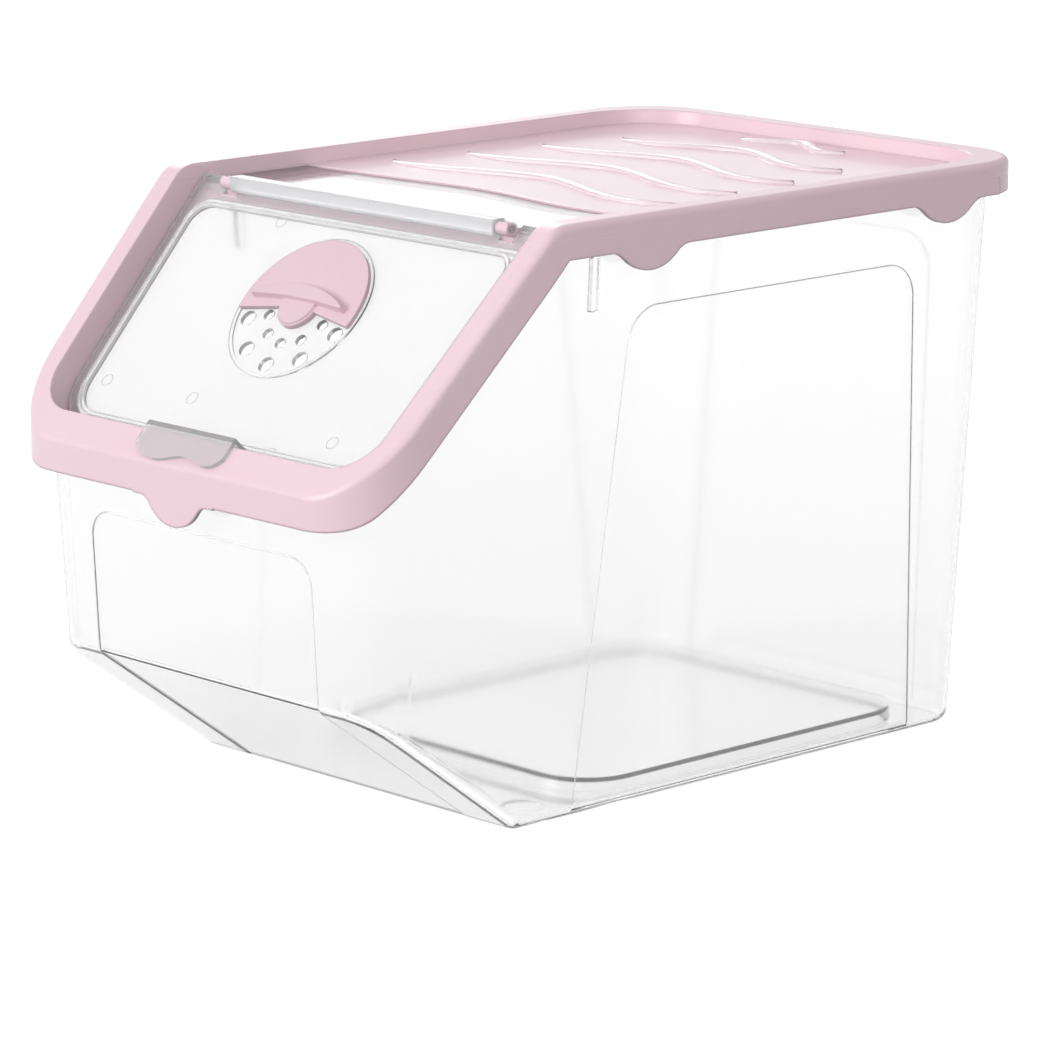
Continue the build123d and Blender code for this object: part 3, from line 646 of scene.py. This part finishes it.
def wall_face(x: int, y: int, foot: float, depth: float = 0.0) -> Face:
    """A drafted wall of the tub.

    Args:
        x: 1 or -1 for the side walls, 0 for the others.
        y: 1 for the back, -1 for the front, 0 for the side walls.
        foot: distance of the outer face's foot from the tub's middle, in millimetres.
        depth: how far the face lies below the outer one, in millimetres.

    Returns:
        The face, its y = 0 on the ground.
    """
    out = Vector((x, y, 0))
    foot_place = out * foot + Vector((0, TUB_MIDDLE_MM * abs(y), 0))
    normal = out * math.cos(TUB_DRAFT) - Vector((0, 0, math.sin(TUB_DRAFT)))
    up = out * math.sin(TUB_DRAFT) + Vector((0, 0, math.cos(TUB_DRAFT)))
    return Face(foot_place - normal * depth, Vector((abs(y), abs(x), 0)), up)


@dataclass
class WallBeads:
    """Fine beads that the mould leaves round the tub's inset panels and its stacking ribs.

    Each shows as the thin grey line that outlines a panel in clear plastic.
    """

    width_mm: float = 0.5
    side_foot_mm: float = 91.42          # foot of the side walls, from the tub's middle
    front_foot_mm: float = 159.72        # the same of the front and back walls
    chamfer_mm: float = 92.2             # length of the lower front chamfer up its slope
    chamfer_top_mm: float = 54.3         # where it ends on the front wall
    chamfer_ground_mm: float = -88.9     # where it meets the ground, along Y
    chamfer_start_mm: float = 3.0        # start of the bead, past the rounded edge of the base
    chamfer_turn_mm: float = 5.0         # radius between the chamfer and the front wall
    front_panel_mm: tuple[float, float, float] = (64.0, 111.7, 11.0)     # half width, top, radius
    side_panel_mm: tuple[tuple[float, float], ...] = (
        (-60.9, 5.0), (-41.0, 195.5), (114.0, 195.5), (126.3, 5.0))
    back_panel_mm: tuple[tuple[float, float], ...] = (
        (-64.3, 5.0), (-60.0, 195.5), (60.0, 195.5), (64.3, 5.0))
    panel_radius_mm: float = 15.0
    rib_mm: tuple[float, float, float, float] = (-61.3, -57.7, 196.0, 216.0)     # y, y, z, z
    rib_depth_mm: float = 3.8            # from the outer face
    rib_corner_mm: float = 0.8

    def panel(self, face: Face, outline: tuple[tuple[float, float], ...]) -> Path:
        """The outline of a wall's inset panel."""
        return Path.rounded([(face.point(x, y), self.panel_radius_mm * MM) for x, y in outline])

    def front(self) -> Path:
        """The outline of the front panel, which goes on down the chamfer.

        Returns:
            The path, from the foot of one side to the foot of the other.
        """
        face = wall_face(0, -1, self.front_foot_mm)
        half, top, radius = self.front_panel_mm
        slope = math.asin(self.chamfer_top_mm / self.chamfer_mm)
        chamfer = Face(Vector((0, self.chamfer_ground_mm, 0)), Vector((1, 0, 0)),
                       Vector((0, -math.cos(slope), math.sin(slope))))
        right = [(chamfer.point(half, self.chamfer_start_mm), 0.0),
                 (face.point(half, self.chamfer_top_mm), self.chamfer_turn_mm * MM),
                 (face.point(half, top), radius * MM)]
        left = [(Vector((-place.x, place.y, place.z)), size) for place, size in reversed(right)]
        return Path.rounded(right + left)

    def rib(self, side: int) -> Path:
        """The outline of the stacking rib inside one of the side walls.

        Args:
            side: 1 for the right wall, -1 for the left one.

        Returns:
            The path, open at the top.
        """
        face = wall_face(side, 0, self.side_foot_mm, self.rib_depth_mm)
        left, right, low, high = self.rib_mm
        corner = self.rib_corner_mm * MM
        return Path.rounded([(face.point(left, high), 0.0), (face.point(left, low), corner),
                             (face.point(right, low), corner), (face.point(right, high), 0.0)])

    def build(self) -> bpy.types.Object:
        """Makes the beads.

        Returns:
            The finished piece.
        """
        paths = [self.front(), self.panel(wall_face(0, 1, self.front_foot_mm), self.back_panel_mm)]
        for side in (-1, 1):
            paths.append(self.panel(wall_face(side, 0, self.side_foot_mm), self.side_panel_mm))
            paths.append(self.rib(side))
        bead = SweptDetail(self.width_mm, self.width_mm, TUB_CLEAR, 8)
        return bead.build("wall_edge_beads", paths, "tub", "clear_tub")


@dataclass
class DoorBeads:
    """Fine edges of the clear door: its outline, both edges of its raised bead and the vent's ring.

    Each outline has its half width at the top and the foot, the heights of both, and its radii.
    """

    width_mm: float = 0.5
    edge_mm: tuple[float, ...] = (99.4, 92.6, -12.0, -115.4, 20.0)
    bead_mm: tuple[tuple[float, ...], ...] = (
        (92.1, 85.4, -9.3, -112.2, 10.0, 16.8), (90.4, 83.9, -10.9, -110.6, 8.4, 15.2))
    edge_depth_mm: float = 10.1
    bead_depth_mm: float = 8.3
    ring_mm: tuple[float, float, float] = (32.6, -48.2, 9.2)     # radius, place, depth
    ring_steps: int = 72

    def build(self) -> bpy.types.Object:
        """Makes the beads.

        Returns:
            The finished piece.
        """
        face = slant_face(self.edge_depth_mm)
        top, low, high, foot, radius = self.edge_mm
        paths = [Path.rounded([
            (face.point(top, high), 0.0), (face.point(low, foot), radius * MM),
            (face.point(-low, foot), radius * MM), (face.point(-top, high), 0.0)])]
        face = slant_face(self.bead_depth_mm)
        for top, low, high, foot, upper, lower in self.bead_mm:
            paths.append(Path.rounded([
                (face.point(top, high), upper * MM), (face.point(low, foot), lower * MM),
                (face.point(-low, foot), lower * MM), (face.point(-top, high), upper * MM)], True))
        radius, place, depth = self.ring_mm
        face = slant_face(depth)
        ring = [face.point(radius * math.cos(turn), place + radius * math.sin(turn))
                for turn in (math.tau * i / self.ring_steps for i in range(self.ring_steps))]
        paths.append(Path(ring, [1.0] * len(ring), True))
        bead = SweptDetail(self.width_mm, self.width_mm, DOOR_CLEAR, 8)
        return bead.build("door_edge_beads", paths, "door", "clear_door")


@dataclass
class DoorMarks:
    """Shallow rings that the mould's ejector pins leave on the clear door."""

    places_mm: tuple[tuple[float, float], ...] = (
        (-41.0, 12.0), (-77.0, 95.0), (59.0, 101.0), (-26.0, 95.0), (32.0, 111.0))
    radius_mm: float = 2.6
    ridge_mm: float = 0.2
    door_depth_mm: float = 10.1
    ring_steps: int = 24
    ridge_steps: int = 6

    def build(self) -> bpy.types.Object:
        """Makes the rings, one on each place.

        Returns:
            The finished piece.
        """
        detail = DetailTree("ejector_marks_tree", {
            "Radius": self.radius_mm * MM, "Ridge": self.ridge_mm * MM, "Tilt": SLANT,
            "Finish": DOOR_CLEAR.build()})
        tree, given = detail.tree, detail.given
        circle = add_node(tree, "GeometryNodeCurvePrimitiveCircle", inputs={
            "Resolution": self.ring_steps, "Radius": given["Radius"]})
        section = add_node(tree, "GeometryNodeCurvePrimitiveCircle", inputs={
            "Resolution": self.ridge_steps, "Radius": given["Ridge"]})
        ring = add_node(tree, "GeometryNodeCurveToMesh", inputs={
            "Curve": circle.outputs["Curve"], "Profile Curve": section.outputs["Curve"]})
        turn = add_node(tree, "ShaderNodeCombineXYZ", inputs={"X": given["Tilt"]})
        placed = add_node(tree, "GeometryNodeInstanceOnPoints", inputs={
            "Points": given["Start"], "Instance": ring.outputs["Mesh"],
            "Rotation": turn.outputs["Vector"]})
        detail.finish(placed.outputs["Instances"])
        face = slant_face(self.door_depth_mm)
        mesh = bpy.data.meshes.new("ejector_mark_places")
        mesh.from_pydata([face.point(x, -t) for x, t in self.places_mm], [], [])
        return detail.piece("ejector_marks", mesh, "door", "clear_door")


# Studio

@dataclass
class Lamp:
    """A square softbox aimed at the bin, in metres and watts."""

    name: str
    place: tuple[float, float, float]
    size: float
    power: float
    aim: tuple[float, float, float] = (0.0, 0.0, 0.12)

    def build(self) -> bpy.types.Object:
        """Makes the lamp.

        Returns:
            The lamp's object.
        """
        data = bpy.data.lights.new(self.name, "AREA")
        data.shape = "SQUARE"
        data.size = self.size
        data.energy = self.power
        lamp = bpy.data.objects.new(self.name, data)
        lamp.location = self.place
        turn = (Vector(self.aim) - Vector(self.place)).to_track_quat("-Z", "Y")
        lamp.rotation_euler = turn.to_euler()
        bpy.context.scene.collection.objects.link(lamp)
        return lamp


@dataclass
class Studio:
    """White studio: a sweep under the bin, soft lamps, a pale room and the camera."""

    floor_half_m: float = 6.0
    floor_drop_mm: float = 0.2           # gap between the sweep and what stands on it
    camera_place: tuple[float, float, float] = (1.4440, -1.3600, 0.5230)
    camera_aim: tuple[float, float, float] = (-0.0009, 0.00025, 0.0911)
    lens_mm: float = 176.69
    sensor_mm: float = 36.0
    nearest_m: float = 0.05
    room_light: float = 0.52             # light that the room sends out
    room_seen: float = 0.7               # how bright it looks by itself and through clear plastic
    bounces: int = 32                    # enough for every wall that a ray crosses
    lamps: list[Lamp] = field(default_factory=lambda: [
        Lamp("key_softbox", (-0.9, -2.2, 0.75), 1.2, 29.0),
        Lamp("side_softbox", (-1.5, 0.9, 1.1), 0.8, 8.0),
        Lamp("back_card", (-1.9, 1.8, 0.81), 1.1, 2.0),
        Lamp("near_softbox", (1.1, -0.9, 0.85), 0.9, 6.5)])

    def floor(self) -> bpy.types.Object:
        """Makes the sweep.

        Returns:
            The floor's object.
        """
        half = self.floor_half_m
        mesh = bpy.data.meshes.new("sweep")
        mesh.from_pydata([(-half, -half, 0), (half, -half, 0), (half, half, 0), (-half, half, 0)],
                         [], [(0, 1, 2, 3)])
        mesh.materials.append(StudioSweep().build())
        sweep = bpy.data.objects.new("sweep", mesh)
        sweep.location.z = -self.floor_drop_mm * MM
        bpy.context.scene.collection.objects.link(sweep)
        return sweep

    def room(self) -> None:
        """Lights the room evenly and shows it a little brighter than it lights."""
        world = bpy.data.worlds.new("room")
        bpy.context.scene.world = world
        world.use_nodes = True
        tree = world.node_tree
        tree.nodes.clear()
        level = add_node(tree, "ShaderNodeMapRange", inputs={
            "Value": seen_directly(tree), "To Min": self.room_light, "To Max": self.room_seen})
        back = add_node(tree, "ShaderNodeBackground", inputs={
            "Color": (1.0, 1.0, 1.0, 1.0), "Strength": level.outputs["Result"]})
        add_node(tree, "ShaderNodeOutputWorld", inputs={"Surface": back.outputs["Background"]})

    def camera(self) -> bpy.types.Object:
        """Makes the camera at the photograph's viewing angle.

        Returns:
            The camera's object.
        """
        data = bpy.data.cameras.new("camera")
        data.sensor_width = self.sensor_mm
        data.lens = self.lens_mm
        data.clip_start = self.nearest_m
        camera = bpy.data.objects.new("camera", data)
        camera.location = self.camera_place
        turn = (Vector(self.camera_aim) - Vector(self.camera_place)).to_track_quat("-Z", "Y")
        camera.rotation_euler = turn.to_euler()
        bpy.context.scene.collection.objects.link(camera)
        bpy.context.scene.camera = camera
        return camera

    def build(self) -> None:
        """Makes the floor, the room, the lamps and the camera."""
        self.floor()
        self.room()
        for lamp in self.lamps:
            lamp.build()
        self.camera()
        scene = bpy.context.scene
        scene.view_settings.view_transform = "Standard"
        scene.cycles.caustics_refractive = False     # the lamps already shine through clear plastic
        scene.cycles.max_bounces = self.bounces
        scene.cycles.transmission_bounces = self.bounces
        scene.cycles.transparent_max_bounces = self.bounces
        log.info("studio with %d lamps", len(self.lamps))


def main() -> None:
    """Dresses the bin, adds its moulded detail and builds the studio round it."""
    logging.basicConfig(level=logging.INFO, format="%(message)s")
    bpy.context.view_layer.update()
    Studio().build()
    Dressing().build()
    TrayRibs().build()
    HingeBar().build()
    WallBeads().build()
    DoorBeads().build()
    DoorMarks().build()


if __name__ == "__main__":
    main()
